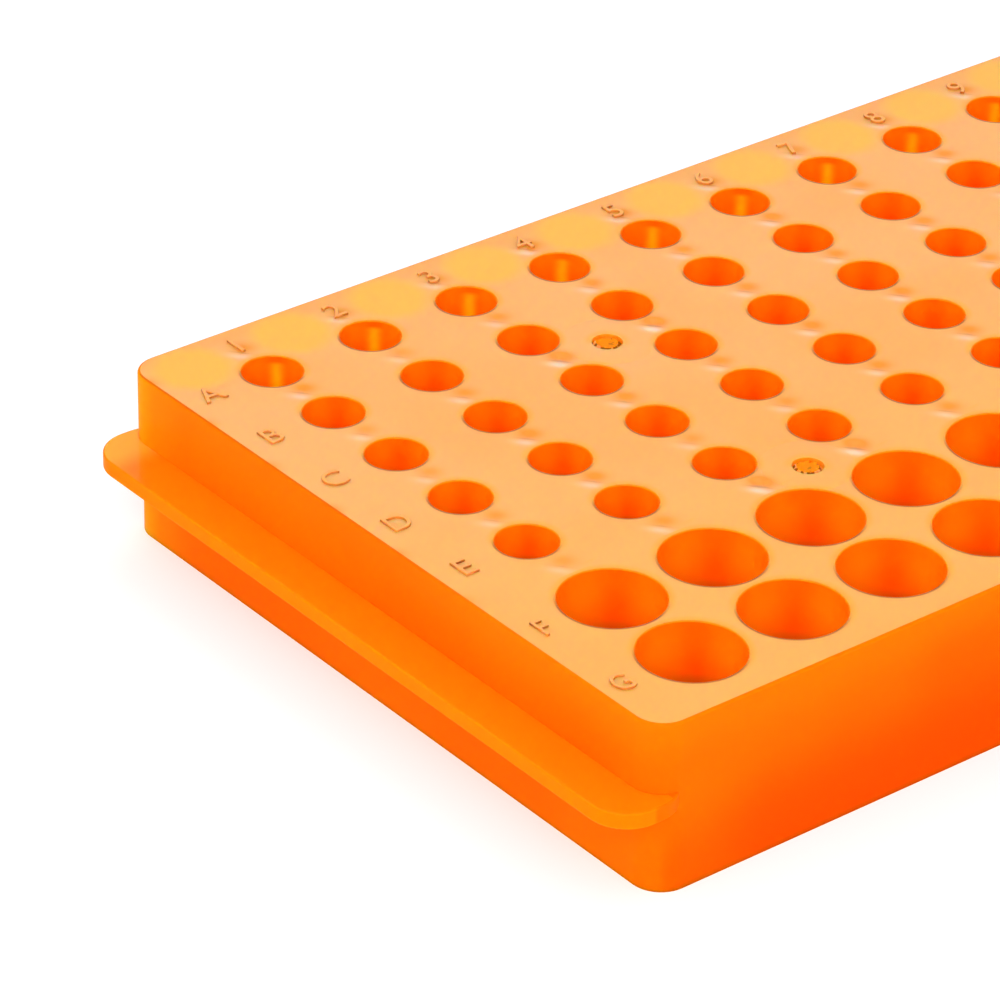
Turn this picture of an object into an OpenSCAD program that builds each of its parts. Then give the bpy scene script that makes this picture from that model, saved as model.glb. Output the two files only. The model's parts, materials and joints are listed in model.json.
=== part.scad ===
// Microcentrifuge tube rack, injection-moulded in one piece and open underneath.
// Small wells for 0.2 ml tubes fill the rows at the back, and large wells for
// 1.5 ml and 2 ml tubes fill the rows at the front. Every well is a sleeve that
// hangs from the deck. A grid of webs ties the sleeves to each other and to the
// skirt, and a ledge on each end wall is the grip.
// Millimetres. The origin is the middle of the whole footprint on the table, +Z
// is up, +X runs along the columns and +Y points to the back row, row A.

/* [Well grid] */
// Number of columns; column 1 is at the left end
columns = 12; // [4:1:14]
// Number of rows of small wells, from row A at the back
small_rows = 5; // [2:1:7]
// Number of rows of large wells, along the front
large_rows = 2; // [1:1:3]
// Distance from one column to the next
column_pitch = 13; // [12.8:0.1:18]
// Distance from one row of small wells to the next
small_row_pitch = 10.8; // [10:0.1:16]
// Distance from one row of large wells to the next
large_row_pitch = 12.2; // [12.2:0.1:18]
// Distance from the last row of small wells to the first row of large wells
group_pitch = 13.5; // [13:0.1:20]

/* [Wells] */
// Bore of a small well
small_bore = 6.6; // [5:0.1:7]
// Bore of a large well
large_bore = 11.1; // [9:0.1:11.2]
// Radius of the rounded rim at the mouth of every well
rim_r = 0.15; // [0.1:0.05:0.4]
// Wall of every sleeve
sleeve_wall = 1.2; // [0.8:0.1:1.4]
// Reach of a small sleeve below the top of the deck
small_sleeve_reach = 12; // [6:0.5:17]
// Reach of a large sleeve below the top of the deck
large_sleeve_reach = 15.5; // [8:0.5:17]

/* [Deck and skirt] */
// Height of the rack from the table to the top of the deck
height = 19.6; // [18.5:0.1:40]
// Thickness of the deck
deck_t = 2; // [1.2:0.1:3]
// Thickness of the skirt
skirt_t = 1.6; // [1:0.1:2]
// Outer radius of the skirt's corners
corner_r = 3.4; // [3:0.1:6]
// Radius of the rounded edge round the top of the deck
deck_edge_r = 0.35; // [0.2:0.05:0.8]
// From the first or last column to the outside of its end wall
end_margin = 11.9; // [9.5:0.1:16]
// From row A to the outside of the back wall
back_margin = 10.2; // [9.5:0.1:16]
// From the front row to the outside of the front wall
front_margin = 9.1; // [8.7:0.1:16]
// How far each end wall steps in below its ledge
end_step = 0.5; // [0.2:0.1:1]

/* [Webs] */
// Thickness of a web
web_t = 1; // [0.8:0.1:1.6]
// Reach of the webs below the top of the deck
web_reach = 9; // [4:0.5:12]

/* [End ledges] */
// How far a ledge stands out from its end wall
ledge_reach = 5.1; // [4.4:0.1:10]
// Thickness of a ledge
ledge_t = 1.8; // [1:0.1:3]
// From the top of the deck down to the top of a ledge
ledge_drop = 8; // [4:0.1:12]
// Radius of a ledge's corners
ledge_corner_r = 4.4; // [2:0.1:4.4]
// Radius of the rounded edges round the top and the bottom of a ledge
ledge_edge_r = 0.2; // [0.1:0.05:0.45]
// How far a ledge runs back along the long walls from its end wall
ledge_return = 4.8; // [4.5:0.1:8]
// How far a ledge stands out from the front wall where it turns the corner
ledge_front_lap = 0.9; // [0.5:0.1:1.5]

/* [Moulding gates] */
// Diameter of the sunk spot round each gate
gate_spot_d = 3.4; // [2:0.1:3.6]
// Depth of the sunk spot
gate_spot_depth = 0.5; // [0.2:0.1:0.8]
// Diameter of the stub that the gate leaves in the spot
gate_stub_d = 1.5; // [0.8:0.1:1.8]

/* [Hidden] */
$fn = 64;

// How far a cutter runs past the face that it opens
past = 1;
// The stub ends this share of the spot's depth below the deck's top
stub_sink = 0.3;

small_span = (small_rows - 1) * small_row_pitch;
large_span = (large_rows - 1) * large_row_pitch;
deck_l = (columns - 1) * column_pitch + 2 * end_margin;
deck_w = back_margin + small_span + group_pitch + large_span + front_margin;
lower_l = deck_l - 2 * end_step;
cavity_l = lower_l - 2 * skirt_t;
cavity_w = deck_w - 2 * skirt_t;
cavity_r = corner_r - skirt_t;
back_face = deck_w / 2;
front_face = -deck_w / 2;
ledge_top = height - ledge_drop;
ledge_bottom = ledge_top - ledge_t;
ledge_l = ledge_reach + ledge_return;
ledge_w = deck_w + ledge_front_lap;
// Sleeves and webs are rooted half-way into the deck, and webs into the skirt
deck_root = height - deck_t / 2;
skirt_root = skirt_t / 2;

// Column and row centres; rows of small wells count on into the large ones
function column_x(i) = (i - (columns - 1) / 2) * column_pitch;
function small_y(j) = back_face - back_margin - j * small_row_pitch;
function large_y(j) = small_y(small_rows - 1) - group_pitch - j * large_row_pitch;

// The gates lie a quarter of the columns in from each end, between two columns
gate_x = -column_x(floor(columns / 4) - 0.5);
gate_back_y = small_y(floor(small_rows / 2) - 0.5);
last_small_edge = small_y(small_rows - 1) - small_bore / 2;
first_large_edge = large_y(0) + large_bore / 2;
gate_front_y = (last_small_edge + first_large_edge) / 2;

module rounded_rectangle(l, w, r) {
    square([l - 2 * r, w], center = true);
    square([l, w - 2 * r], center = true);
    for (x = [-1, 1], y = [-1, 1])
        translate([x * (l / 2 - r), y * (w / 2 - r)])
            circle(r);
}

// What a rounding takes off a section whose corner is at x = y = 0
module corner_off(r) {
    difference() {
        translate([-r, -r])
            square(r + past);
        translate([-r, -r])
            circle(r);
    }
}

// A slab of a flat outline, from one level up to another
module slab(from, to) {
    translate([0, 0, from])
        linear_extrude(to - from)
            children();
}

module on_both_ends() {
    for (side = [0, 1])
        mirror([side, 0, 0])
            children();
}

module on_both_long_sides() {
    for (side = [0, 1])
        mirror([0, side, 0])
            children();
}

module at_small_wells() {
    for (i = [0 : columns - 1], j = [0 : small_rows - 1])
        translate([column_x(i), small_y(j)])
            children();
}

module at_large_wells() {
    for (i = [0 : columns - 1], j = [0 : large_rows - 1])
        translate([column_x(i), large_y(j)])
            children();
}

// The cutters that round the top edge of a slab with the outline of a rounded
// rectangle and its top at z = 0: along the sides, then round the corners
module edge_off(l, w, corner, r) {
    on_both_long_sides()
        translate([corner - l / 2, w / 2])
            rotate([90, 0, 90])
                linear_extrude(l - 2 * corner)
                    corner_off(r);
    on_both_ends()
        translate([l / 2, w / 2 - corner])
            rotate([90, 0, 0])
                linear_extrude(w - 2 * corner)
                    corner_off(r);
    on_both_ends()
        on_both_long_sides()
            translate([l / 2 - corner, w / 2 - corner])
                rotate_extrude(angle = 90)
                    translate([corner, 0])
                        corner_off(r);
}

// The ledge at the right end; the cavity cuts off its inner side
module ledge() {
    translate([
        deck_l / 2 + (ledge_reach - ledge_return) / 2,
        -ledge_front_lap / 2
    ])
        difference() {
            slab(ledge_bottom, ledge_top)
                rounded_rectangle(ledge_l, ledge_w, ledge_corner_r);
            translate([0, 0, ledge_top])
                edge_off(ledge_l, ledge_w, ledge_corner_r, ledge_edge_r);
            translate([0, 0, ledge_bottom])
                mirror([0, 0, 1])
                    edge_off(ledge_l, ledge_w, ledge_corner_r, ledge_edge_r);
        }
}

// The deck, its skirt and the ledges, open underneath
module shell() {
    difference() {
        union() {
            slab(ledge_bottom, height)
                rounded_rectangle(deck_l, deck_w, corner_r);
            slab(0, ledge_bottom)
                rounded_rectangle(lower_l, deck_w, corner_r);
            on_both_ends()
                ledge();
        }
        slab(-past, height - deck_t)
            rounded_rectangle(cavity_l, cavity_w, cavity_r);
    }
}

// A web from one end wall to the other through a row of wells
module row_web(y) {
    web_l = cavity_l + 2 * skirt_root;
    translate([-web_l / 2, y - web_t / 2])
        square([web_l, web_t]);
}

// A web along a column, from the back wall to the first row of large wells
module column_web(x) {
    translate([x - web_t / 2, large_y(0)])
        square([web_t, back_face - skirt_root - large_y(0)]);
}

// A short web from between two large wells of the front row to the front wall
module front_web(x) {
    translate([x - web_t / 2, front_face + skirt_root])
        square([web_t, large_y(large_rows - 1) - front_face - skirt_root]);
}

module webs() {
    slab(height - web_reach, deck_root) {
        for (j = [0 : small_rows - 1])
            row_web(small_y(j));
        for (j = [0 : large_rows - 1])
            row_web(large_y(j));
        for (i = [0 : columns - 1])
            column_web(column_x(i));
        for (i = [0 : columns])
            front_web(column_x(i - 0.5));
    }
}

module sleeves() {
    slab(height - small_sleeve_reach, deck_root)
        at_small_wells()
            circle(d = small_bore + 2 * sleeve_wall);
    slab(height - large_sleeve_reach, deck_root)
        at_large_wells()
            circle(d = large_bore + 2 * sleeve_wall);
}

// The cutter of one well: its bore, with the rounded rim at its mouth
module bore(d) {
    translate([0, 0, height])
        rotate_extrude() {
            translate([0, -height - past])
                square([d / 2, height + 2 * past]);
            translate([d / 2, 0])
                mirror([1, 0])
                    corner_off(rim_r);
        }
}

module bores() {
    at_small_wells()
        bore(small_bore);
    at_large_wells()
        bore(large_bore);
}

module gate_spot() {
    translate([0, 0, height - gate_spot_depth])
        difference() {
            cylinder(h = gate_spot_depth + past, d = gate_spot_d);
            cylinder(h = gate_spot_depth * (1 - stub_sink), d = gate_stub_d);
        }
}

module gate_spots() {
    for (x = [-gate_x, gate_x], y = [gate_back_y, gate_front_y])
        translate([x, y])
            gate_spot();
}

// The deck's middle is at x = y = 0 until the lap in front is counted in
module rack() {
    color("darkorange")
        translate([0, ledge_front_lap / 2])
            difference() {
                union() {
                    shell();
                    webs();
                    sleeves();
                }
                bores();
                translate([0, 0, height])
                    edge_off(deck_l, deck_w, corner_r, deck_edge_r);
                gate_spots();
            }
}

rack();
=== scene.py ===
"""The looks of the microcentrifuge tube rack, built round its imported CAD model.

Metres. The CAD solid stays as it is and gets its plastic here. What this script
adds is the raised row letters and column numbers and the torn gate stubs. The
plastic is one translucent orange polypropylene. It has a finish for each kind of
face, because the deck and the tops of the ledges are polished and the rest is
satin. Part of its tone is paint that stands for light inside the plastic and for
reflections. That paint is fixed to the rack.
"""

import json
import math
import random

import bmesh
import bpy
from mathutils import Matrix, Vector


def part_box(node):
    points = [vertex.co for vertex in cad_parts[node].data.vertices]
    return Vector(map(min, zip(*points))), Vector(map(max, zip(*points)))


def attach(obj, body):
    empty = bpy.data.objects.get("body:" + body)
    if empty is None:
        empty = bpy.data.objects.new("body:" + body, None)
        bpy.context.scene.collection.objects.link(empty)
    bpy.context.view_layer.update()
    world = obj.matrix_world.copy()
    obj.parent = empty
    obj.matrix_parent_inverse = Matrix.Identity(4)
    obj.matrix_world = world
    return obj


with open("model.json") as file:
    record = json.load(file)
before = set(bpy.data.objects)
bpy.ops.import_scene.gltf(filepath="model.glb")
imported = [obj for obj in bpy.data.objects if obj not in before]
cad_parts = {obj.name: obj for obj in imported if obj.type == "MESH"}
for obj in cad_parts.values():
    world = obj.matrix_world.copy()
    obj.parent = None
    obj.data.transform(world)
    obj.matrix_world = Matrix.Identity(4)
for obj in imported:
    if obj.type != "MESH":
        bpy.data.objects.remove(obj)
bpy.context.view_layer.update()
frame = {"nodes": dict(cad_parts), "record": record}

MM = 0.001

# ---------------------------------------------------------------- layout

record = frame["record"]
rack = frame["nodes"]["rack"]
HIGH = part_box("rack")[1]
TOP = HIGH.z

mounts = {mount["name"]: mount for mount in record["mounts"]}
openings = {opening["name"]: opening["box_m"] for opening in record["physics"]["openings"]}


def well(name):
    """The centre of a well that the record states as an opening."""
    low, high = openings[name]
    return Vector(((low[0] + high[0]) / 2, (low[1] + high[1]) / 2))


COLUMNS = 12
column_x = [well(f"large_well_g{i + 1}").x for i in range(COLUMNS)]
COLUMN_PITCH = column_x[1] - column_x[0]

row_y = {letter: well(f"small_well_{letter.lower()}1").y for letter in "ACE"}
SMALL_PITCH = (row_y["A"] - row_y["C"]) / 2
row_y["B"] = row_y["A"] - SMALL_PITCH
row_y["D"] = row_y["C"] - SMALL_PITCH
for letter in "FG":
    row_y[letter] = well(f"large_well_{letter.lower()}1").y
LARGE_PITCH = row_y["F"] - row_y["G"]

SMALL_R = mounts["small_well"]["dims"]["r_mm"] * MM
LARGE_R = mounts["large_well"]["dims"]["r_mm"] * MM
# The radius of the rounded rims
RIM_R = 0.15 * MM

# The gates lie between columns 3 and 4 from each end, between rows B and C and
# between the mouths of rows E and F
GATE_X = (column_x[-3] + column_x[-4]) / 2
GATE_YS = (
    (row_y["B"] + row_y["C"]) / 2,
    (row_y["E"] - SMALL_R + row_y["F"] + LARGE_R) / 2,
)
GATES = [Vector((x, y)) for x in (-GATE_X, GATE_X) for y in GATE_YS]
# The sunk spots round the gates
SPOT_R = 1.7 * MM
SPOT_DEPTH = 0.5 * MM

# The ledges stand out from the ends of the deck, with their tops this far below it
LEDGE_REACH = 5.1 * MM
LEDGE_DROP = 8.0 * MM
LEDGE_THICKNESS = 1.8 * MM
DECK_END = HIGH.x - LEDGE_REACH
LEDGE_BOTTOM = TOP - LEDGE_DROP - LEDGE_THICKNESS


# ---------------------------------------------------------------- node helpers

PLASTIC_IOR = 1.49
# How far red, green and blue light get inside the plastic, as shares of the
# glow depth of the finish
GLOW_REACH = (1.0, 0.30, 0.06)
# The sockets that a Mix node has for colours: the share and the two colours in,
# and the result out
MIX_INPUTS = (0, 6, 7)
MIX_OUTPUT = 2


def srgb(red, green, blue):
    """A colour given in 8-bit sRGB, as the linear RGBA that Blender takes."""

    def linear(value):
        value /= 255
        return value / 12.92 if value <= 0.04045 else ((value + 0.055) / 1.055) ** 2.4

    return (linear(red), linear(green), linear(blue), 1.0)


def feed(tree, socket, value):
    """Links an output to a socket, or sets the socket to a number or colour."""
    if isinstance(value, bpy.types.NodeSocket):
        tree.links.new(value, socket)
    else:
        socket.default_value = value


def calculate(tree, operation, *values):
    """A Math node on sockets and numbers."""
    node = tree.nodes.new("ShaderNodeMath")
    node.operation = operation
    for socket, value in zip(node.inputs, values):
        feed(tree, socket, value)
    return node.outputs[0]


class Plastic:
    """A material on the Principled shader that is painted in coats.

    Its x, y and z are places in the rack's own frame. A share is a socket or
    number from 0 to 1, such as how much of a coat there is at a place.
    """

    def __init__(self, name, colour, roughness, specular, glow_depth):
        self.material = bpy.data.materials.new(name)
        self.material.use_nodes = True
        self.tree = self.material.node_tree
        self.painted = colour
        self.shader = self.tree.nodes["Principled BSDF"]
        self.shader.inputs["Roughness"].default_value = roughness
        self.shader.inputs["IOR"].default_value = PLASTIC_IOR
        self.shader.inputs["Specular IOR Level"].default_value = specular
        self.shader.inputs["Subsurface Weight"].default_value = 1.0
        self.shader.inputs["Subsurface Radius"].default_value = GLOW_REACH
        self.shader.inputs["Subsurface Scale"].default_value = glow_depth
        coordinates = self.tree.nodes.new("ShaderNodeTexCoord")
        self.place = coordinates.outputs["Object"]
        self.x, self.y, self.z = self.split(self.place)
        self.normal_x, self.normal_y, self.normal_z = self.split(coordinates.outputs["Normal"])

    def split(self, vector):
        node = self.tree.nodes.new("ShaderNodeSeparateXYZ")
        self.tree.links.new(vector, node.inputs[0])
        return node.outputs

    def math(self, operation, *values):
        return calculate(self.tree, operation, *values)

    def add(self, first, *rest):
        for value in rest:
            first = self.math("ADD", first, value)
        return first

    def times(self, first, *rest):
        for value in rest:
            first = self.math("MULTIPLY", first, value)
        return first

    def minus(self, first, second):
        return self.math("SUBTRACT", first, second)

    def magnitude(self, value):
        """A number without its sign."""
        return self.math("ABSOLUTE", value)

    def length(self, across, along):
        return self.math("SQRT", self.add(self.times(across, across), self.times(along, along)))

    def off_grid(self, value, start, pitch):
        """How far a coordinate is from the nearest of the lines start + n * pitch."""
        return self.math("PINGPONG", self.minus(value, start), pitch / 2)

    def round_a_well(self, first_y, pitch):
        """Place seen from the nearest well of a kind: x, y and the distance."""
        shift_x = self.minus(self.x, column_x[0] - COLUMN_PITCH / 2)
        shift_y = self.minus(self.y, first_y - pitch / 2)
        wrap_x = self.math("FLOORED_MODULO", shift_x, COLUMN_PITCH)
        wrap_y = self.math("FLOORED_MODULO", shift_y, pitch)
        across = self.minus(wrap_x, COLUMN_PITCH / 2)
        along = self.minus(wrap_y, pitch / 2)
        return across, along, self.length(across, along)

    def hump(self, distance, width):
        """A bell: 1 at the distance 0, 0.37 at the width and almost 0 past twice that."""
        ratio = self.math("DIVIDE", distance, width)
        return self.math("EXPONENT", self.times(ratio, ratio, -1.0))

    def ridge(self, distance, width):
        """A crease: 1 at the distance 0, 0.37 at the width and almost 0 past four times that."""
        ratio = self.math("DIVIDE", self.magnitude(distance), width)
        return self.math("EXPONENT", self.times(ratio, -1.0))

    def ramp(self, value, start, end):
        """0 before start and 1 past end, smooth between them."""
        node = self.tree.nodes.new("ShaderNodeMapRange")
        node.interpolation_type = "SMOOTHSTEP"
        feed(self.tree, node.inputs["Value"], value)
        node.inputs["From Min"].default_value = start
        node.inputs["From Max"].default_value = end
        return node.outputs["Result"]

    def at_depth(self, start, end):
        """As ramp, over the depth below the top of the deck."""
        return self.ramp(self.z, TOP - start, TOP - end)

    def behind_row_a(self, start, end):
        """As ramp, over the distance behind the middle of row A."""
        return self.ramp(self.y, row_y["A"] + start, row_y["A"] + end)

    def noise(self, size, detail, seed):
        """Noise from 0 to 1 whose patches are about size across."""
        node = self.tree.nodes.new("ShaderNodeTexNoise")
        node.noise_dimensions = "4D"
        node.inputs["W"].default_value = seed
        node.inputs["Scale"].default_value = 1 / size
        node.inputs["Detail"].default_value = detail
        self.tree.links.new(self.place, node.inputs["Vector"])
        return node.outputs["Fac"]

    def blend(self, share, first, second):
        """The first colour where share is 0 and the second where it is 1."""
        node = self.tree.nodes.new("ShaderNodeMix")
        node.data_type = "RGBA"
        for index, value in zip(MIX_INPUTS, (share, first, second)):
            feed(self.tree, node.inputs[index], value)
        return node.outputs[MIX_OUTPUT]

    def coat(self, share, colour, most=1.0):
        """Paints a colour over the coats so far, as strongly as most where share is 1."""
        if most < 1.0:
            share = self.times(share, most)
        self.painted = self.blend(share, self.painted, colour)
        feed(self.tree, self.shader.inputs["Base Color"], self.painted)

    def let_light_through(self, colour, strength):
        """Stands for the light that comes through the walls from outside."""
        self.shader.inputs["Emission Color"].default_value = colour
        self.shader.inputs["Emission Strength"].default_value = strength

    def bump(self, height):
        """Shades the face as if it were raised by height, in metres."""
        node = self.tree.nodes.new("ShaderNodeBump")
        node.inputs["Strength"].default_value = 1.0
        node.inputs["Distance"].default_value = 1.0
        feed(self.tree, node.inputs["Height"], height)
        self.tree.links.new(node.outputs["Normal"], self.shader.inputs["Normal"])

    def grain(self, size, height, detail, seed):
        """Bumps that are about size across and up to height high."""
        self.bump(self.times(self.noise(size, detail, seed), height))


# ---------------------------------------------------------------- the deck

DECK = srgb(255, 175, 101)
DECK_FRONT = srgb(255, 174, 86)
DECK_DEEP = srgb(255, 166, 80)
# Painted light: the pale discs behind row A, where light comes up through the deck
DECK_GLOW = srgb(255, 182, 66)
# Painted shade and painted highlight on the two flanks of each sink
SINK_SHADE = srgb(238, 142, 28)
SINK_HIGHLIGHT = srgb(255, 218, 184)
# Light that comes through the walls of the wells and gates
HALO = srgb(255, 166, 40)
# Painted shade for edges and creases that no light shines through
EDGE = srgb(150, 76, 10)
# Painted shade: the dark line round each well mouth, also on the dark sides of the gate stubs
MOUTH_LINE = srgb(140, 78, 0)

# Cosines of the angle off a well's front left: where front_share starts, and where
# it is 1
FRONT_SHARE = (-0.1, 0.6)

# The painted shade line round a mouth: its width, its strength all round, and what is added
# to that in front
LINE_WIDTH = 0.17 * MM
LINE_ALL_ROUND = 0.1
LINE_IN_FRONT = 0.85
# Where the halo behind a mouth ends and where it is full, outward from the rim
HALO_REACH = (0.9 * MM, 0.1 * MM)
HALO_STRENGTH = 0.65
# How much of the deck beyond the outer mouths takes lines and halos
LINE_ROOM = 0.45 * MM
HALO_ROOM = 1.4 * MM

# A sink is a wide hollow with a sharp one in it: their sizes, their shares of its
# depth, and the depth
SINK_R = 2.0 * MM
SINK_WIDE = 0.75
SINK_CORE = 0.5 * MM
SINK_SHARP = 0.25
SINK_DEPTH = 0.16 * MM
# The painted shade and painted highlight on the flanks of the sinks face along the diagonal
# of the grid of small wells. These are their places and widths along it, and their width across it
DIAGONAL = Vector((COLUMN_PITCH, SMALL_PITCH)).normalized()
CREASE_AT, CREASE_WIDTH = -0.4 * MM, 0.18 * MM
SHADED_FLANK_AT, SHADED_FLANK_WIDTH = 0.7 * MM, 1.1 * MM
BRIGHT_AT, BRIGHT_WIDTH = -1.2 * MM, 0.55 * MM
FLANK_ACROSS = 1.3 * MM
# How strongly the bright flanks and the creases are painted, and the most that
# flanks and creases may be
BRIGHT_STRENGTH, FLANK_MOST = 0.55, 0.85
CREASE_STRENGTH, CREASE_MOST = 0.25, 0.3
# The sinks differ in strength from place to place, and are strongest in a ring
# round each gate
SINK_LEAST, SINK_VARIES, SINK_PATCH = 0.15, 1.5, 17 * MM
GATE_SINKS_AT, GATE_SINKS_WIDTH = 6.2 * MM, 2.0 * MM
# In front of row E one row of sinks takes over from those among the small wells,
# within this share of a pitch on either side of row E
FADE_AT_E = 0.1

# Round each gate the deck has a shallow groove, and a halo behind the spot
RING_R, RING_WIDTH, RING_DEPTH = 5.0 * MM, 0.9 * MM, 0.12 * MM
SPOT_HALO_REACH = (2.9 * MM, 1.7 * MM)
# The deck is a little lower over the webs, and wavy all over
QUILT_WIDTH, QUILT_DEPTH = 1.2 * MM, 0.03 * MM
WAVE_SIZE, WAVE_HEIGHT = 9 * MM, 0.12 * MM
# The grain of the polished faces
POLISH_SIZE, POLISH_HEIGHT = 0.5 * MM, 0.0012 * MM

# The pale discs lie this far behind row A, between the columns
DISC_AT, DISC_REACH, DISC_STRENGTH = 5.4 * MM, (5.6 * MM, 3.0 * MM), 0.95
# The deck has painted shade that deepens its tone at its back edge, and it is deeper in tone in
# patches
BACK_EDGE, BACK_EDGE_STRENGTH = (6.0 * MM, 9.5 * MM), 0.7
PATCH_SIZE, PATCH_LEVELS, PATCH_STRENGTH = 16 * MM, (0.4, 0.7), 0.5


def front_share(m, across, along, distance):
    """1 on the front left side of a well and 0 on the side away from it."""
    towards = m.math("DIVIDE", m.add(across, along), m.times(distance, -math.sqrt(2)))
    return m.ramp(towards, *FRONT_SHARE)


def among_wells(m, first, last, before, after):
    """1 over rows first to last and a margin from the middles of their outer wells.

    The margin is before on the left and in front, and after on the right and behind.
    """
    return m.times(
        m.math("GREATER_THAN", m.x, column_x[0] - before),
        m.math("LESS_THAN", m.x, column_x[-1] + after),
        m.math("GREATER_THAN", m.y, row_y[last] - before),
        m.math("LESS_THAN", m.y, row_y[first] + after),
    )


def mouths(m, first, last, pitch, radius):
    """The painted shade lines round the mouths of rows first to last, and the halos of light behind
    them.
    """
    across, along, distance = m.round_a_well(row_y[first], pitch)
    near = radius + LINE_ROOM
    on_line = among_wells(m, first, last, near, near)
    on_halo = among_wells(m, first, last, near, radius + HALO_ROOM)
    front = front_share(m, across, along, distance)
    off = m.minus(distance, radius + RIM_R)
    strength = m.add(m.times(front, LINE_IN_FRONT), LINE_ALL_ROUND)
    line = m.times(m.hump(off, LINE_WIDTH), on_line, strength)
    halo = m.times(m.ramp(off, *HALO_REACH), on_halo, m.minus(1.0, front))
    return line, halo


def sink(m, across, along):
    """A sink in the deck: its depth from 0 to 1, and the shares of the painted shade and painted
    highlight on its two flanks and of its painted dark crease.
    """
    distance = m.length(across, along)
    depth = m.add(
        m.times(m.ramp(distance, SINK_R, 0.0), SINK_WIDE),
        m.times(m.ridge(distance, SINK_CORE), SINK_SHARP),
    )
    sideways = m.minus(m.times(across, DIAGONAL.y), m.times(along, DIAGONAL.x))
    forth = m.add(m.times(across, DIAGONAL.x), m.times(along, DIAGONAL.y))
    spread = m.hump(sideways, FLANK_ACROSS)
    shaded_flank = m.times(m.hump(m.minus(forth, SHADED_FLANK_AT), SHADED_FLANK_WIDTH), spread)
    bright = m.times(m.hump(m.minus(forth, BRIGHT_AT), BRIGHT_WIDTH), spread)
    crease = m.times(m.hump(m.minus(forth, CREASE_AT), CREASE_WIDTH), spread)
    return depth, shaded_flank, bright, crease


def deck_plastic():
    """The polished top, with sinks over the sleeves and webs that it hides."""
    m = Plastic("deck_plastic", DECK, roughness=0.12, specular=0.2, glow_depth=2 * MM)
    fade = SMALL_PITCH * FADE_AT_E
    in_small = m.ramp(m.y, row_y["E"] - fade, row_y["E"] + fade)
    below_e = m.minus(1.0, in_small)
    across, along, _ = m.round_a_well(row_y["A"] - SMALL_PITCH / 2, SMALL_PITCH)
    upper = sink(m, across, along)
    lower = sink(m, across, m.minus(m.y, GATE_YS[1]))
    strengths = [m.times(m.noise(SINK_PATCH, detail=1.0, seed=12.0), SINK_VARIES), SINK_LEAST]
    rings = []
    halos = []
    for gate in GATES:
        away_x = m.minus(m.x, gate.x)
        away_y = m.minus(m.y, gate.y)
        away = m.length(away_x, away_y)
        strengths.append(m.hump(m.minus(away, GATE_SINKS_AT), GATE_SINKS_WIDTH))
        rings.append(m.ridge(m.minus(away, RING_R), RING_WIDTH))
        behind = m.minus(1.0, front_share(m, away_x, away_y, away))
        halos.append(m.times(m.ramp(away, *SPOT_HALO_REACH), behind))
    strength = m.add(*strengths)
    depth, shaded_flank, bright, crease = (
        m.times(m.add(m.times(a, in_small), m.times(b, below_e)), strength)
        for a, b in zip(upper, lower)
    )

    column_off = m.off_grid(m.x, column_x[0], COLUMN_PITCH)
    row_off = m.off_grid(m.y, row_y["A"], SMALL_PITCH)
    quilt = m.add(m.ridge(row_off, QUILT_WIDTH), m.ridge(column_off, QUILT_WIDTH))
    m.bump(
        m.add(
            m.times(depth, -SINK_DEPTH),
            m.times(m.add(*rings), -RING_DEPTH),
            m.times(quilt, in_small, -QUILT_DEPTH),
            m.times(m.noise(WAVE_SIZE, detail=1.0, seed=0.0), WAVE_HEIGHT),
            m.times(m.noise(POLISH_SIZE, detail=2.0, seed=7.0), POLISH_HEIGHT),
        )
    )

    cell_off = m.off_grid(m.x, column_x[0] + COLUMN_PITCH / 2, COLUMN_PITCH)
    disc_off = m.minus(m.y, row_y["A"] + DISC_AT)
    patches = m.ramp(m.noise(PATCH_SIZE, detail=1.0, seed=3.0), *PATCH_LEVELS)
    small_line, small_halo = mouths(m, "A", "E", SMALL_PITCH, SMALL_R)
    large_line, large_halo = mouths(m, "F", "G", LARGE_PITCH, LARGE_R)
    # Painted light: the deck is a little less pale towards the front
    m.coat(m.ramp(m.y, row_y["B"], row_y["G"]), DECK_FRONT)
    m.coat(patches, DECK_DEEP, PATCH_STRENGTH)
    m.coat(m.behind_row_a(*BACK_EDGE), DECK_DEEP, BACK_EDGE_STRENGTH)
    m.coat(m.ramp(m.length(cell_off, disc_off), *DISC_REACH), DECK_GLOW, DISC_STRENGTH)
    # The sinks' painted shade, painted highlight and painted dark crease
    m.coat(m.math("MINIMUM", shaded_flank, FLANK_MOST), SINK_SHADE)
    m.coat(m.math("MINIMUM", m.times(bright, BRIGHT_STRENGTH), FLANK_MOST), SINK_HIGHLIGHT)
    m.coat(m.math("MINIMUM", m.times(crease, CREASE_STRENGTH), CREASE_MOST), EDGE)
    m.coat(m.add(small_halo, large_halo, *halos), HALO, HALO_STRENGTH)
    m.coat(m.add(small_line, large_line), MOUTH_LINE)
    return m.material


# ---------------------------------------------------------------- skirt and ledges

BODY = srgb(255, 106, 2)
BODY_LIGHT = srgb(255, 128, 4)
BODY_DEEP = srgb(255, 84, 1)
BODY_LOW = srgb(255, 56, 0)
BODY_CORNER = srgb(255, 152, 10)
LEDGE = srgb(255, 130, 4)
LEDGE_RIM = srgb(255, 121, 3)
LEDGE_BACK = srgb(255, 176, 52)
# The light that comes through the walls of the skirt and the wells
GLOW = srgb(255, 70, 0)
BODY_GLOW = 0.06

# How far a face looks sideways or to the front where it starts to count as one of
# an end wall or of the front wall, and where it does fully
LOOKS_SIDEWAYS = (0.3, 0.8)
LOOKS_FORWARD = (-0.5, -0.9)
CLOUD_SIZE, CLOUD_LEVELS, CLOUD_STRENGTH = 22 * MM, (0.35, 0.7), 0.5
# Painted shade makes the skirt deeper in tone low down, less so on the end walls
LOW_DEPTHS, LOW_STRENGTH, LOW_LESS_AT_ENDS = (8 * MM, 18 * MM), 0.8, 0.7
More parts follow.
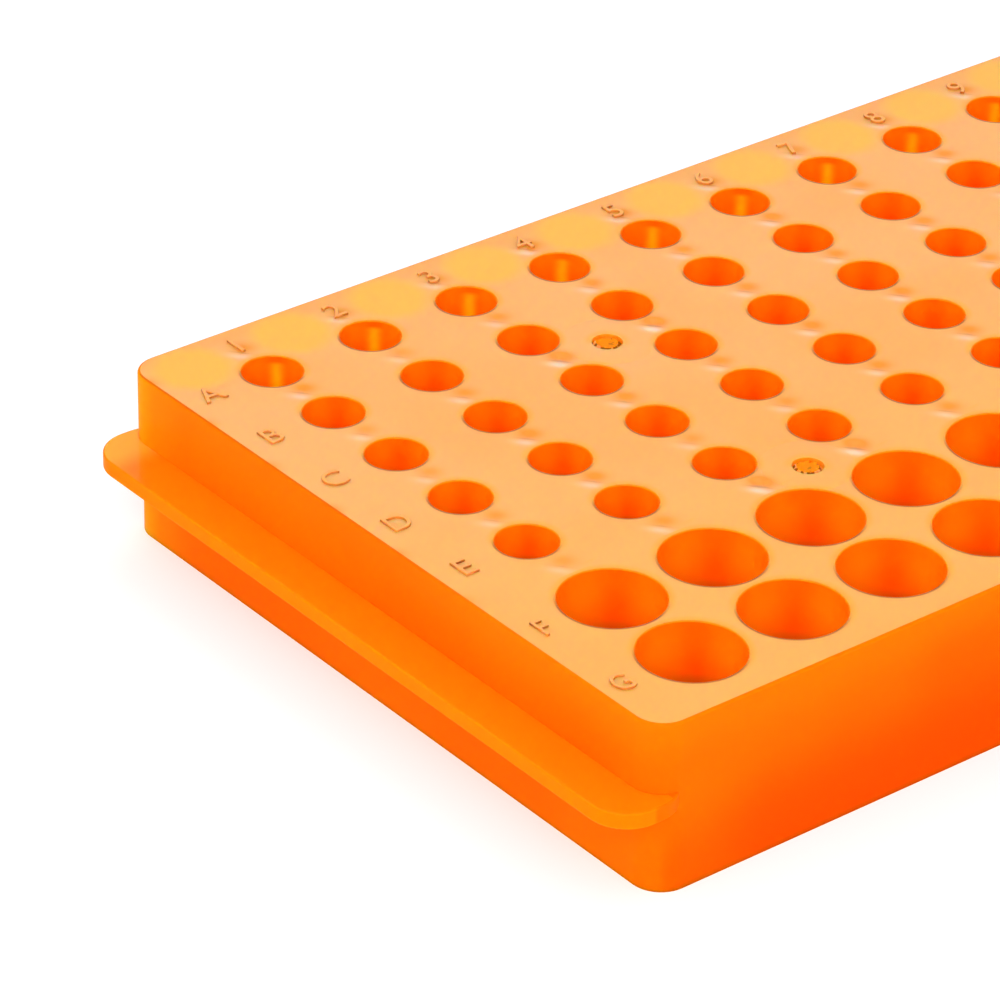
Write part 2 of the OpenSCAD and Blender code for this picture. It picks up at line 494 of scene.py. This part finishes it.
# Painted light makes it lighter high up, less so in the middle of the end walls
HIGH_DEPTHS, HIGH_STRENGTH, HIGH_LESS_MID_END = (6 * MM, 0.0), 0.4, 0.36
MID_END_WIDTH = 22 * MM
# Painted light makes the end walls lighter at the back, and most of all at the back corner
END_BACK, END_BACK_STRENGTH = (-2 * MM, 7 * MM), 0.8
END_CORNER, END_CORNER_STRENGTH = (4.5 * MM, 8 * MM), 0.7
# Painted shade makes the front wall redder low down, from this far inside the ends of the deck
RED_INSIDE, RED_DEPTHS, RED_STRENGTH = (4 * MM, 16 * MM), (3 * MM, 15 * MM), 0.5
# The edges of the ledges are what lies outside the deck's ends and above the
# ledges' bottoms by this much
RIM_OUTSIDE, RIM_ABOVE = (0.2 * MM, 0.8 * MM), (-0.2 * MM, 0.0)
# Painted shade darkens the upper edges of the end walls, fading out from row C to row G
ARRIS_DEPTHS, ARRIS_INSIDE, ARRIS_STRENGTH = (0.16 * MM, 0.06 * MM), 0.4 * MM, 0.6

# Where the ledges take the skirt's light tone, this far inside the rack's reach, and where a
# painted reflection makes them paler towards their back ends
TIP_INSIDE, TIP_STRENGTH = (4.6 * MM, 1.0 * MM), 0.6
LEDGE_BACK_AT, LEDGE_BACK_STRENGTH = (3 * MM, 7 * MM), 0.8


def body_plastic():
    """The satin skirt, webs and underside, with painted light and shade: lighter towards the deck.
    """
    m = Plastic("body_plastic", BODY, roughness=0.34, specular=0.01, glow_depth=3 * MM)
    m.let_light_through(GLOW, BODY_GLOW)
    m.grain(size=0.35 * MM, height=0.004 * MM, detail=3.0, seed=2.0)
    end = m.ramp(m.magnitude(m.normal_x), *LOOKS_SIDEWAYS)
    front = m.ramp(m.normal_y, *LOOKS_FORWARD)
    off_x = m.magnitude(m.x)
    clouds = m.ramp(m.noise(CLOUD_SIZE, detail=1.0, seed=5.0), *CLOUD_LEVELS)
    m.coat(clouds, BODY_DEEP, CLOUD_STRENGTH)
    low_strength = m.minus(LOW_STRENGTH, m.times(end, LOW_LESS_AT_ENDS))
    m.coat(m.times(m.at_depth(*LOW_DEPTHS), low_strength), BODY_DEEP)
    mid_end = m.times(m.hump(m.minus(m.y, row_y["C"]), MID_END_WIDTH), end)
    high_strength = m.minus(HIGH_STRENGTH, m.times(mid_end, HIGH_LESS_MID_END))
    m.coat(m.times(m.at_depth(*HIGH_DEPTHS), high_strength), BODY_LIGHT)
    m.coat(m.times(m.behind_row_a(*END_BACK), end), BODY_LIGHT, END_BACK_STRENGTH)
    m.coat(m.times(m.behind_row_a(*END_CORNER), end), BODY_CORNER, END_CORNER_STRENGTH)
    inside = m.ramp(off_x, *(DECK_END - margin for margin in RED_INSIDE))
    m.coat(m.times(front, inside, m.at_depth(*RED_DEPTHS)), BODY_LOW, RED_STRENGTH)
    outside = m.ramp(off_x, *(DECK_END + margin for margin in RIM_OUTSIDE))
    above = m.ramp(m.z, *(LEDGE_BOTTOM + margin for margin in RIM_ABOVE))
    m.coat(m.times(outside, above), LEDGE_RIM)
    arris = m.times(
        m.at_depth(*ARRIS_DEPTHS),
        m.math("GREATER_THAN", off_x, DECK_END - ARRIS_INSIDE),
        m.ramp(m.y, row_y["G"], row_y["C"]),
    )
    m.coat(arris, EDGE, ARRIS_STRENGTH)
    return m.material


def ledge_plastic():
    """The polished tops of the ledges, with a painted reflection that makes them palest at their
    back ends.
    """
    m = Plastic("ledge_plastic", LEDGE, roughness=0.2, specular=0.12, glow_depth=3 * MM)
    m.grain(size=POLISH_SIZE, height=POLISH_HEIGHT, detail=2.0, seed=7.0)
    tip = m.ramp(m.magnitude(m.x), *(HIGH.x - margin for margin in TIP_INSIDE))
    m.coat(tip, BODY_LIGHT, TIP_STRENGTH)
    m.coat(m.behind_row_a(*LEDGE_BACK_AT), LEDGE_BACK, LEDGE_BACK_STRENGTH)
    return m.material


# ---------------------------------------------------------------- wells and rims

WELL = srgb(255, 120, 2)
WELL_DEEP = srgb(255, 148, 8)
WELL_BACK = srgb(255, 99, 0)
WELL_LIT = srgb(255, 162, 10)
WELL_LIT_DEEP = srgb(255, 208, 12)
WELL_SHADE = srgb(140, 108, 20)
WELL_GLOW = 0.16
RIM = srgb(255, 138, 12)

# The depths between which the walls go over to the colour of their deep parts
DEEP_DEPTHS = (0.3 * MM, 4.5 * MM)
# Painted shade: the redder band down each well, the direction it lies in and its width
BAND_AT, BAND_WIDTH = math.radians(45), math.radians(28)
# Every well darkens all round with depth, the wide ones further down: from and to
# these shares of the radius
SHADE_FROM, SHADE_TO, SHADE_STRENGTH = 0.9, 1.5, 0.8
# The bright strip down each well of row A: its direction and width, the depths
# between which it starts, and those between which it goes over to its deep colour
STRIP_AT, STRIP_WIDTH = math.radians(46), math.radians(13)
STRIP_DEPTHS = (0.6 * MM, 1.2 * MM)
STRIP_DEEP_DEPTHS = (1.0 * MM, 3.8 * MM)


def rim_plastic(name, first_y, pitch):
    """The rounded rims: they glow where light shines in and are dark where not."""
    m = Plastic(name, RIM, roughness=0.3, specular=0.05, glow_depth=0.3 * MM)
    m.grain(size=0.35 * MM, height=0.003 * MM, detail=3.0, seed=6.0)
    m.coat(front_share(m, *m.round_a_well(first_y, pitch)), EDGE)
    return m.material


def well_plastic(name, first_y, pitch, radius, lit):
    """The inside of a kind of well; lit adds the bright strip of the back row."""
    m = Plastic(name, WELL, roughness=0.3, specular=0.1, glow_depth=0.4 * MM)
    m.let_light_through(GLOW, WELL_GLOW)
    m.grain(size=0.35 * MM, height=0.003 * MM, detail=3.0, seed=4.0)
    across, along, _ = m.round_a_well(first_y, pitch)
    direction = m.math("ARCTAN2", along, across)
    m.coat(m.at_depth(*DEEP_DEPTHS), WELL_DEEP)
    m.coat(m.hump(m.minus(direction, BAND_AT), BAND_WIDTH), WELL_BACK)
    m.coat(m.at_depth(radius * SHADE_FROM, radius * SHADE_TO), WELL_SHADE, SHADE_STRENGTH)
    if lit:
        strip = m.times(
            m.hump(m.minus(direction, STRIP_AT), STRIP_WIDTH),
            m.behind_row_a(-pitch / 2, -pitch / 3),
            m.at_depth(*STRIP_DEPTHS),
        )
        m.coat(strip, m.blend(m.at_depth(*STRIP_DEEP_DEPTHS), WELL_LIT, WELL_LIT_DEEP))
    return m.material


# ---------------------------------------------------------------- letters, stubs and spots

STUB = srgb(255, 134, 6)
# A stub's face comes to count as steep between these values of its normal's z, and
# as one that faces the front left between these of its normal's x and y together
LOOKS_UP = (0.85, 0.55)
LOOKS_BACK_RIGHT = (0.2, -0.6)
STEEP_STRENGTH = 0.95
CRACK_LEVELS, CRACK_STRENGTH = (0.54, 0.64), 0.5
TEETH_LEVELS = (0.44, 0.56)


def letter_plastic():
    """The tops of the raised letters and numbers, nearly as polished as the deck."""
    m = Plastic("letter_plastic", DECK, roughness=0.16, specular=0.2, glow_depth=0.2 * MM)
    m.grain(size=0.4 * MM, height=0.003 * MM, detail=2.0, seed=8.0)
    m.coat(m.noise(1.5 * MM, detail=1.0, seed=9.0), DECK_DEEP)
    return m.material


def letter_side_plastic():
    """The sides of the letters, darkened with painted shade."""
    m = Plastic("letter_side_plastic", EDGE, roughness=0.3, specular=0.05, glow_depth=0.1 * MM)
    m.grain(size=0.4 * MM, height=0.003 * MM, detail=2.0, seed=8.0)
    m.coat(m.noise(0.8 * MM, detail=1.0, seed=10.0), DECK_DEEP)
    return m.material


def stub_plastic():
    """Torn plastic, with painted shade on the steep sides that face the front left."""
    m = Plastic("stub_plastic", STUB, roughness=0.5, specular=0.03, glow_depth=0.3 * MM)
    m.grain(size=0.3 * MM, height=0.05 * MM, detail=3.0, seed=14.0)
    m.coat(m.ramp(m.noise(0.6 * MM, detail=2.0, seed=11.0), *CRACK_LEVELS), EDGE, CRACK_STRENGTH)
    steep = m.ramp(m.normal_z, *LOOKS_UP)
    in_front = m.ramp(m.add(m.normal_x, m.normal_y), *LOOKS_BACK_RIGHT)
    teeth = m.ramp(m.noise(0.45 * MM, detail=0.0, seed=15.0), *TEETH_LEVELS)
    m.coat(m.times(steep, in_front), m.blend(teeth, MOUTH_LINE, DECK), STEEP_STRENGTH)
    return m.material


def spot_plastic():
    """The sunk spots round the gates, where light shines through the thin deck."""
    m = Plastic("spot_plastic", STUB, roughness=0.3, specular=0.03, glow_depth=0.4 * MM)
    m.grain(size=0.4 * MM, height=0.003 * MM, detail=2.0, seed=8.0)
    m.coat(m.noise(0.8 * MM, detail=1.0, seed=16.0), HALO)
    return m.material


# ---------------------------------------------------------------- faces of the rack

# How near a face's middle has to be to a surface to count as part of it
NEARLY = 0.02 * MM
# A normal's z from which a face counts as flat, and up to which it counts as upright
FLAT = 0.99
UPRIGHT = 0.1
# The tops of the ledges are flat, this far or less inside the deck's end, and this
# far or more below its top
LEDGE_MARGIN = 2 * MM


def dress_rack():
    """Gives each face of the CAD solid the plastic of its kind."""
    mesh = rack.data
    mesh.materials.clear()
    small = (row_y["A"], SMALL_PITCH)
    large = (row_y["F"], LARGE_PITCH)
    plastics = {
        "body": body_plastic(),
        "deck": deck_plastic(),
        "ledge": ledge_plastic(),
        "spot": spot_plastic(),
        "small_well": well_plastic("small_well_plastic", *small, SMALL_R, lit=True),
        "large_well": well_plastic("large_well_plastic", *large, LARGE_R, lit=False),
        "small_rim": rim_plastic("small_rim_plastic", *small),
        "large_rim": rim_plastic("large_rim_plastic", *large),
    }
    for material in plastics.values():
        mesh.materials.append(material)
    slots = {kind: index for index, kind in enumerate(plastics)}
    wells = [("small", x, row_y[letter], SMALL_R) for x in column_x for letter in "ABCDE"]
    wells += [("large", x, row_y[letter], LARGE_R) for x in column_x for letter in "FG"]

    def kind_of(face):
        place = face.center
        flat = face.normal.z > FLAT
        if flat and place.z > TOP - NEARLY:
            return "deck"
        if flat and abs(place.x) > DECK_END - LEDGE_MARGIN and place.z < TOP - LEDGE_MARGIN:
            return "ledge"
        for gate in GATES:
            away = math.hypot(place.x - gate.x, place.y - gate.y)
            if away < SPOT_R + NEARLY and place.z > TOP - SPOT_DEPTH - NEARLY:
                return "spot"
        for size, x, y, radius in wells:
            away = math.hypot(place.x - x, place.y - y)
            if away < radius + RIM_R and place.z > TOP - RIM_R:
                return size + "_rim"
            if away < radius + NEARLY and abs(face.normal.z) < UPRIGHT:
                return size + "_well"
        return "body"

    for face in mesh.polygons:
        face.material_index = slots[kind_of(face)]


# ---------------------------------------------------------------- raised letters


def add_piece(name, mesh):
    """Adds a piece of the rack that is made here."""
    piece = bpy.data.objects.new(name, mesh)
    bpy.context.scene.collection.objects.link(piece)
    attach(piece, "root")


# How far the letters and numbers stand above the deck and reach into it, how tall
# their capitals are, and the rounding of their edges
GLYPH_RISE = 0.25 * MM
GLYPH_SINK = 0.05 * MM
GLYPH_TALL = 2.9 * MM
GLYPH_EDGE = 0.06 * MM
GLYPH_EDGE_STEPS = 2
GLYPH_CURVE_STEPS = 6
# A normal's z from which a face of a letter counts as its top
GLYPH_TOP = 0.8
# The built-in font's capitals are this share of its size
CAPITAL_SHARE = 0.729
NUMBERS_BEYOND_A = 6.4 * MM
LETTERS_SMALL_X = column_x[0] - 8.3 * MM
LETTERS_LARGE_X = column_x[0] - 9.1 * MM
LETTERS_BEFORE_ROW = 0.5 * MM
# The letters of the large rows are this much narrower
LARGE_LETTER_WIDTH = 0.8


def glyph(name, text, x, y, width, top, side):
    """Raised text centred at x and y, upright as seen from the front."""
    curve = bpy.data.curves.new(name, "FONT")
    curve.body = text
    curve.align_x = "CENTER"
    curve.align_y = "CENTER"
    curve.size = GLYPH_TALL / CAPITAL_SHARE
    curve.extrude = (GLYPH_RISE + GLYPH_SINK) / 2 - GLYPH_EDGE
    curve.bevel_depth = GLYPH_EDGE
    curve.bevel_resolution = GLYPH_EDGE_STEPS
    curve.offset = -GLYPH_EDGE / 2
    curve.resolution_u = GLYPH_CURVE_STEPS
    shape = bpy.data.objects.new(name + "_text", curve)
    bpy.context.scene.collection.objects.link(shape)
    bpy.context.view_layer.update()
    depsgraph = bpy.context.evaluated_depsgraph_get()
    mesh = bpy.data.meshes.new_from_object(shape.evaluated_get(depsgraph))
    bpy.data.objects.remove(shape)
    bpy.data.curves.remove(curve)
    mesh.name = name
    mesh.transform(Matrix.Diagonal((width, 1, 1, 1)))
    mesh.transform(Matrix.Translation((x, y, TOP + (GLYPH_RISE - GLYPH_SINK) / 2)))
    mesh.materials.clear()
    mesh.materials.append(top)
    mesh.materials.append(side)
    for face in mesh.polygons:
        face.material_index = 0 if face.normal.z > GLYPH_TOP else 1
    add_piece(name, mesh)


def label_rows_and_columns():
    top, side = letter_plastic(), letter_side_plastic()
    numbers_y = row_y["A"] + NUMBERS_BEYOND_A
    for i, x in enumerate(column_x):
        glyph(f"column_number_{i + 1}", str(i + 1), x, numbers_y, 1, top, side)
    for letter, y in row_y.items():
        x, width = LETTERS_SMALL_X, 1
        if letter in "FG":
            x, width = LETTERS_LARGE_X, LARGE_LETTER_WIDTH
        glyph(f"row_letter_{letter}", letter, x, y - LETTERS_BEFORE_ROW, width, top, side)


# ---------------------------------------------------------------- gate stubs

STUB_STEPS = 72
STUB_R = 1.32 * MM
# Heights above the floor of the spot, in mm: the middle of the stub, and with each
# ring's share of the radius, its rings from the middle out
STUB_MIDDLE = 0.37
STUB_RINGS = ((0.3, 0.36), (0.6, 0.38), (0.76, 0.43), (0.88, 0.42), (1.1, 0.02))
# The third and fourth rings are the torn crest
CREST = (2, 3)
# How far the tears move the outline, as a share of its reach, and the crest up
# and down, in mm round its middle
OUTLINE_TEAR = 0.35
CREST_TEAR = 0.2
CREST_MIDDLE = -0.03
# The tears are waves with these counts round the stub. Their strengths are drawn
# between these limits, and get less as the count grows
TEAR_COUNTS = range(3, 24, 2)
TEAR_STRENGTHS = (0.3, 1.0)
# How far the stub stays below the deck's top
STUB_BELOW_TOP = 0.01 * MM
FIRST_STUB_SEED = 3


def gate_stub(name, gate, seed, material):
    """The torn end of plastic that the gate leaves in its sunk spot."""
    draw = random.Random(seed)
    waves = [
        (count, draw.uniform(0, math.tau), draw.uniform(*TEAR_STRENGTHS) / count**0.5)
        for count in TEAR_COUNTS
    ]
    whole = sum(strength for _, _, strength in waves)
    floor_z = TOP - SPOT_DEPTH
    shape = bmesh.new()
    middle = shape.verts.new((gate.x, gate.y, floor_z + STUB_MIDDLE * MM))
    rings = []
    for number, (share, tall) in enumerate(STUB_RINGS):
        ring = []
        for step in range(STUB_STEPS):
            angle = math.tau * step / STUB_STEPS
            torn = sum(size * math.sin(count * angle + start) for count, start, size in waves)
            torn /= whole
            reach = STUB_R * share * (1 + OUTLINE_TEAR * torn * share**2)
            up = tall * MM
            if number in CREST:
                up += (CREST_TEAR * torn + CREST_MIDDLE) * MM
            x = gate.x + reach * math.cos(angle)
            y = gate.y + reach * math.sin(angle)
            z = min(floor_z + up, TOP - STUB_BELOW_TOP)
            ring.append(shape.verts.new((x, y, z)))
        rings.append(ring)
    for step in range(STUB_STEPS):
        after = (step + 1) % STUB_STEPS
        shape.faces.new((middle, rings[0][step], rings[0][after]))
        for inner, outer in zip(rings, rings[1:]):
            shape.faces.new((inner[step], outer[step], outer[after], inner[after]))
    shape.faces.new(list(reversed(rings[-1])))
    mesh = bpy.data.meshes.new(name)
    shape.to_mesh(mesh)
    shape.free()
    mesh.materials.append(material)
    add_piece(name, mesh)


# ---------------------------------------------------------------- camera, floor and light

# The way the camera looks, as in the photo: turned from +Y towards +X, tilted down,
# and rolled
AZIMUTH = math.radians(38.850)
ELEVATION = math.radians(30.786)
ROLL = math.radians(1.112)
# The point on the deck that the camera looks at, and how far it is from there
AIM = Vector((-0.06870, -0.00094, TOP))
DISTANCE = 0.54118
# In millimetres, as Blender takes them
LENS = 191.81
SENSOR_WIDTH = 36.0
# The nearest and farthest that the camera sees
SEEN_FROM, SEEN_TO = 0.02, 10.0

WHITE = (1, 1, 1, 1)
# The sky's light on the rack, where 1 is the white that is seen
SKY_LIGHT = 0.69
# Reflections show the sky darker overhead: between these heights, from 0 at the
# horizon to 1 straight up, its white falls by this much
DIM_HEIGHTS, DIM_BY = (0.5, 0.8), 0.85
FLOOR_GREY = (0.8, 0.8, 0.8, 1)
# What is added to the floor's brightness where it is seen
FLOOR_LIFT = 0.3
FLOOR_HALF = 3.0
FLOOR_BELOW = 0.02 * MM


def camera():
    """The camera at the photo's viewing angle, aimed at a point on the deck."""
    data = bpy.data.cameras.new("camera")
    data.lens = LENS
    data.sensor_width = SENSOR_WIDTH
    data.clip_start = SEEN_FROM
    data.clip_end = SEEN_TO
    eye = bpy.data.objects.new("camera", data)
    back = Vector(
        (
            -math.sin(AZIMUTH) * math.cos(ELEVATION),
            -math.cos(AZIMUTH) * math.cos(ELEVATION),
            math.sin(ELEVATION),
        )
    )
    eye.location = AIM + back * DISTANCE
    level = (-back).to_track_quat("-Z", "Y").to_matrix()
    turn = Matrix.Rotation(ROLL, 3, back)
    eye.rotation_euler = (turn @ level).to_euler()
    bpy.context.scene.collection.objects.link(eye)
    bpy.context.scene.camera = eye


def seen_directly(tree, path):
    """1 for what the camera, a reflection or a see-through surface shows."""
    reflected = calculate(tree, "MAXIMUM", path["Is Camera Ray"], path["Is Glossy Ray"])
    return calculate(tree, "MAXIMUM", reflected, path["Is Transmission Ray"])


def mix_shaders(tree, share, first, second):
    """The first node's shader where share is 0 and the second node's where it is 1."""
    node = tree.nodes.new("ShaderNodeMixShader")
    for socket, value in zip(node.inputs, (share, first.outputs[0], second.outputs[0])):
        tree.links.new(value, socket)
    return node


def sky():
    """White where it is seen, and a plain soft light on the rack."""
    world = bpy.data.worlds.new("studio")
    bpy.context.scene.world = world
    world.use_nodes = True
    tree = world.node_tree
    path = tree.nodes.new("ShaderNodeLightPath").outputs
    light = tree.nodes["Background"]
    light.inputs["Color"].default_value = WHITE
    light.inputs["Strength"].default_value = SKY_LIGHT
    seen = tree.nodes.new("ShaderNodeBackground")
    seen.inputs["Color"].default_value = WHITE
    direction = tree.nodes.new("ShaderNodeTexCoord")
    split = tree.nodes.new("ShaderNodeSeparateXYZ")
    tree.links.new(direction.outputs["Generated"], split.inputs[0])
    overhead = tree.nodes.new("ShaderNodeMapRange")
    overhead.interpolation_type = "SMOOTHSTEP"
    overhead.inputs["From Min"].default_value = DIM_HEIGHTS[0]
    overhead.inputs["From Max"].default_value = DIM_HEIGHTS[1]
    overhead.inputs["To Max"].default_value = DIM_BY
    tree.links.new(split.outputs["Z"], overhead.inputs["Value"])
    dimmed = calculate(tree, "MULTIPLY", overhead.outputs["Result"], path["Is Glossy Ray"])
    tree.links.new(calculate(tree, "SUBTRACT", 1.0, dimmed), seen.inputs["Strength"])
    both = mix_shaders(tree, seen_directly(tree, path), light, seen)
    tree.links.new(both.outputs[0], tree.nodes["World Output"].inputs["Surface"])


def floor():
    """A pale sheet that keeps the rack's shadow."""
    mesh = bpy.data.meshes.new("floor")
    corners = [(x * FLOOR_HALF, y * FLOOR_HALF, 0) for x, y in ((-1, -1), (1, -1), (1, 1), (-1, 1))]
    mesh.from_pydata(corners, [], [(0, 1, 2, 3)])
    sheet = bpy.data.objects.new("floor", mesh)
    sheet.location.z = -FLOOR_BELOW
    bpy.context.scene.collection.objects.link(sheet)
    material = bpy.data.materials.new("floor_paper")
    material.use_nodes = True
    tree = material.node_tree
    tree.nodes.clear()
    path = tree.nodes.new("ShaderNodeLightPath").outputs
    paper = tree.nodes.new("ShaderNodeBsdfDiffuse")
    paper.inputs["Color"].default_value = FLOOR_GREY
    lift = tree.nodes.new("ShaderNodeEmission")
    strength = calculate(tree, "MULTIPLY", seen_directly(tree, path), FLOOR_LIFT)
    tree.links.new(strength, lift.inputs["Strength"])
    lit_paper = tree.nodes.new("ShaderNodeAddShader")
    tree.links.new(paper.outputs[0], lit_paper.inputs[0])
    tree.links.new(lift.outputs[0], lit_paper.inputs[1])
    # From below the sheet is clear, so that it doesn't hide the rack
    clear = tree.nodes.new("ShaderNodeBsdfTransparent")
    below = tree.nodes.new("ShaderNodeNewGeometry").outputs["Backfacing"]
    sides = mix_shaders(tree, below, lit_paper, clear)
    output = tree.nodes.new("ShaderNodeOutputMaterial")
    tree.links.new(sides.outputs[0], output.inputs["Surface"])
    mesh.materials.append(material)


def softbox(name, azimuth, elevation, distance, width, height, radiance):
    """A rectangular lamp that looks at the rack from a direction given in degrees."""
    a, e = math.radians(azimuth), math.radians(elevation)
    towards = Vector((math.sin(a) * math.cos(e), math.cos(a) * math.cos(e), math.sin(e)))
    data = bpy.data.lights.new(name, "AREA")
    data.shape = "RECTANGLE"
    data.size = width
    data.size_y = height
    data.energy = radiance * math.pi * width * height
    lamp = bpy.data.objects.new(name, data)
    lamp.location = towards * distance
    lamp.rotation_euler = towards.to_track_quat("Z", "Y").to_euler()
    lamp.visible_camera = False
    bpy.context.scene.collection.objects.link(lamp)


dress_rack()
label_rows_and_columns()
torn_plastic = stub_plastic()
for number, place in enumerate(GATES):
    gate_stub(f"gate_stub_{number + 1}", place, FIRST_STUB_SEED + number, torn_plastic)
camera()
sky()
floor()
softbox(
    "back_softbox",
    azimuth=38.0,
    elevation=58.0,
    distance=0.9,
    width=0.6,
    height=0.3,
    radiance=1.6,
)
softbox(
    "front_softbox",
    azimuth=228.0,
    elevation=30.0,
    distance=0.9,
    width=0.7,
    height=0.6,
    radiance=4.9,
)
bpy.context.scene.view_settings.view_transform = "Standard"
